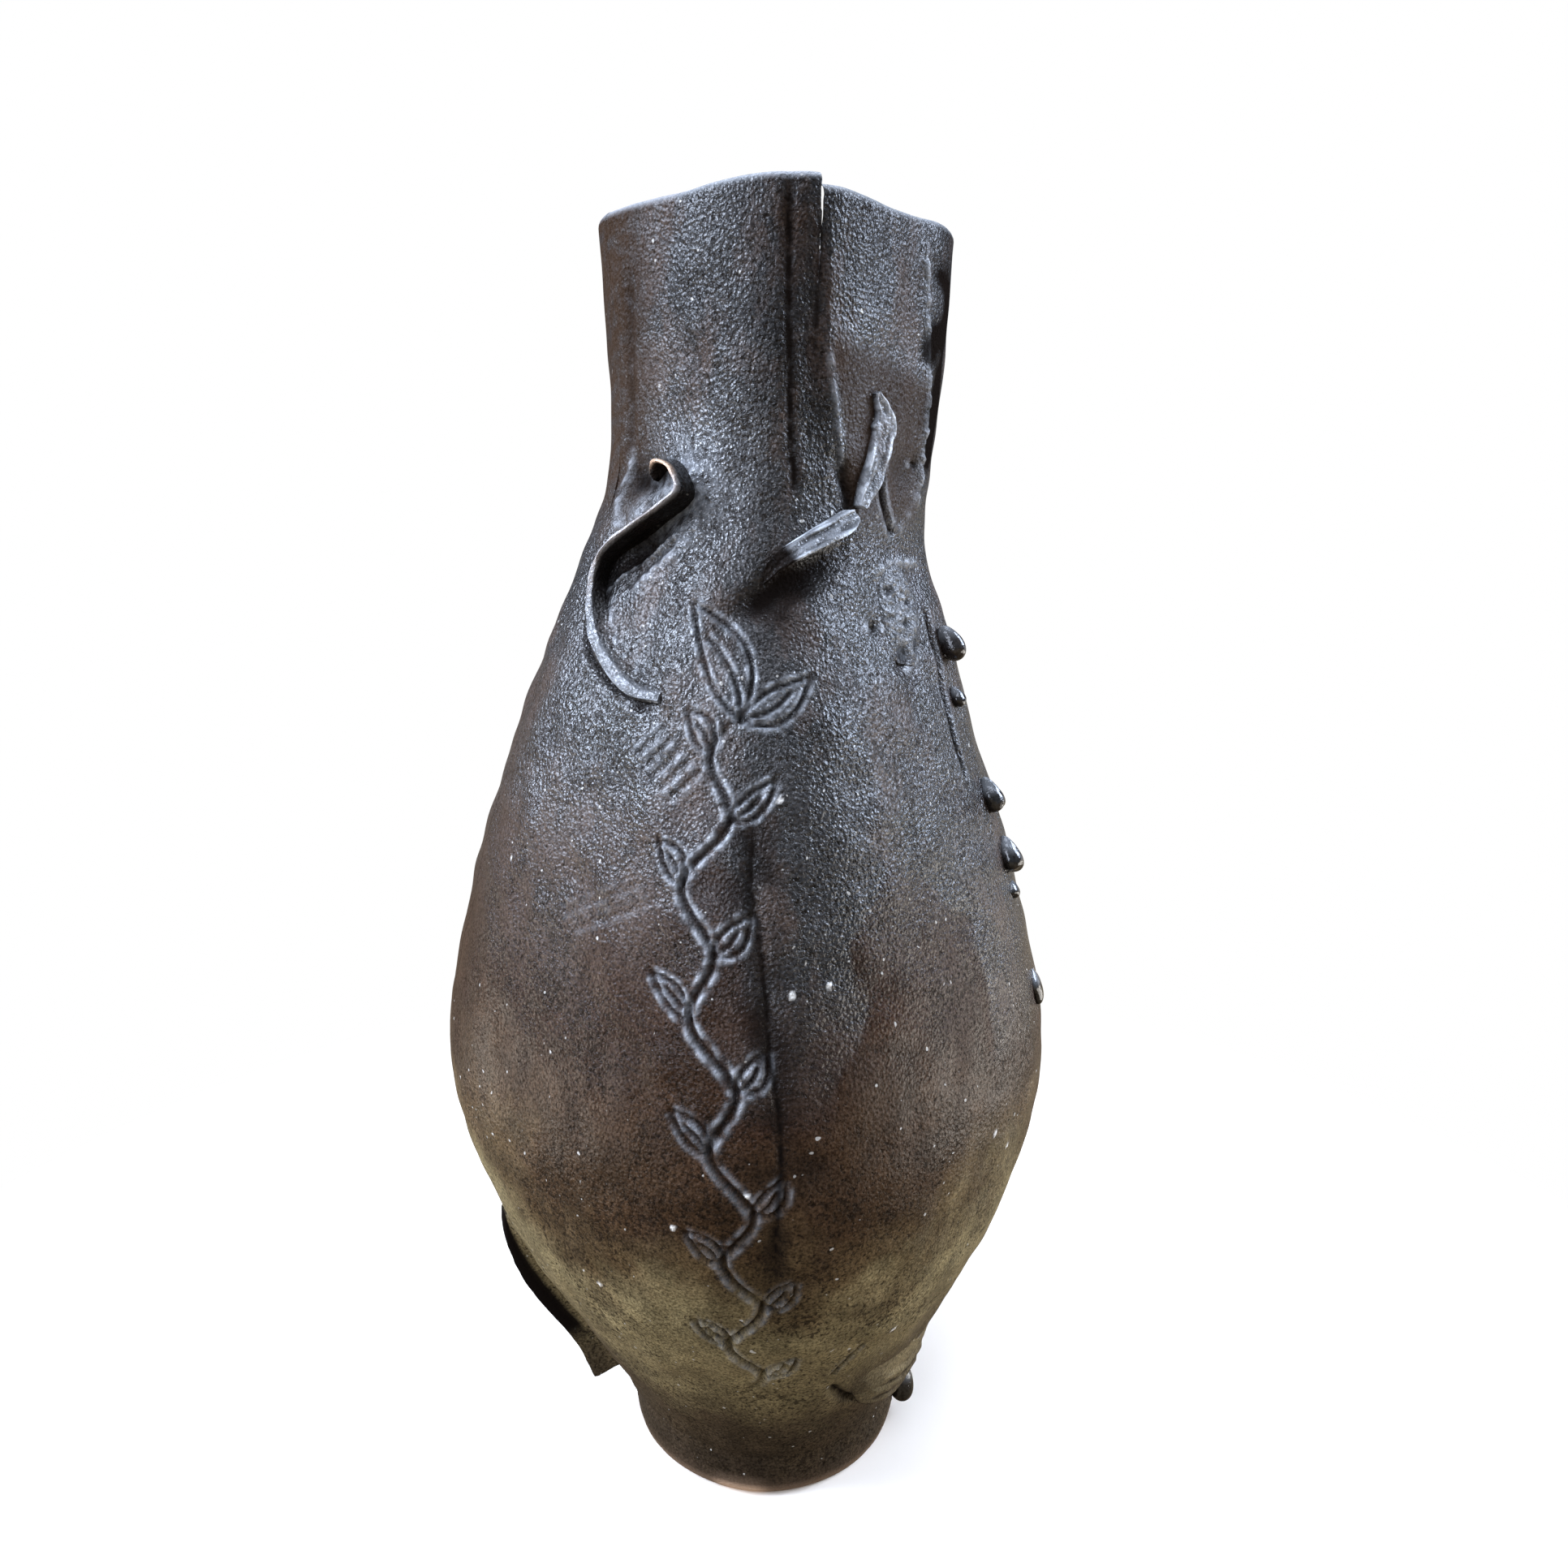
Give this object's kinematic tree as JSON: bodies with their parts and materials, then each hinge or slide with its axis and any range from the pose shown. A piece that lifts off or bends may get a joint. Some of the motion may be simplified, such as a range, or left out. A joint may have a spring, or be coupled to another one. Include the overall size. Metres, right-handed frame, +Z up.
{
  "type": "studio pottery vase",
  "caption": "Slab-built stoneware vase with a pear-shaped belly, a squarish open neck, a short round foot, lapped seams and applied clay strips; holds cut stems and water.",
  "frame": {"origin": "centre of the floor's underside, on the surface that the vase stands on", "axes": "+Z up along the height, -Y towards the viewer at the front lapped seam, +X to that viewer's right"},
  "size_m": [0.1495, 0.1495, 0.3],
  "materials": {
    "iron_glaze": "satin iron-brown stoneware glaze with an orange-peel texture",
    "olive_glaze": "satin olive-brown stoneware glaze over folded slab ends",
    "black_glaze": "glossy black-brown pooled glaze",
    "bare_stoneware": "matt unglazed fired stoneware"
  },
  "bodies": {
    "root": {"floor_disc": "bare_stoneware", "foot_ring": "iron_glaze", "front_left_wall": "iron_glaze", "front_right_wall": "iron_glaze", "back_right_wall": "iron_glaze", "back_left_wall": "iron_glaze", "front_seam_coil": "iron_glaze", "right_seam_coil": "iron_glaze", "back_seam_coil": "iron_glaze", "left_seam_coil": "iron_glaze", "floor_coil": "iron_glaze", "waist_coil": "iron_glaze", "scroll_ribbon": "iron_glaze", "neck_strip": "iron_glaze", "shoulder_strip": "iron_glaze", "shoulder_patch": "iron_glaze", "lower_left_flap": "olive_glaze", "lower_right_flap": "olive_glaze", "side_bead_1": "black_glaze", "side_bead_2": "black_glaze", "side_bead_3": "black_glaze", "side_bead_4": "black_glaze", "side_bead_5": "black_glaze", "side_bead_6": "black_glaze", "foot_bead": "black_glaze"}
  },
  "joints": []
}
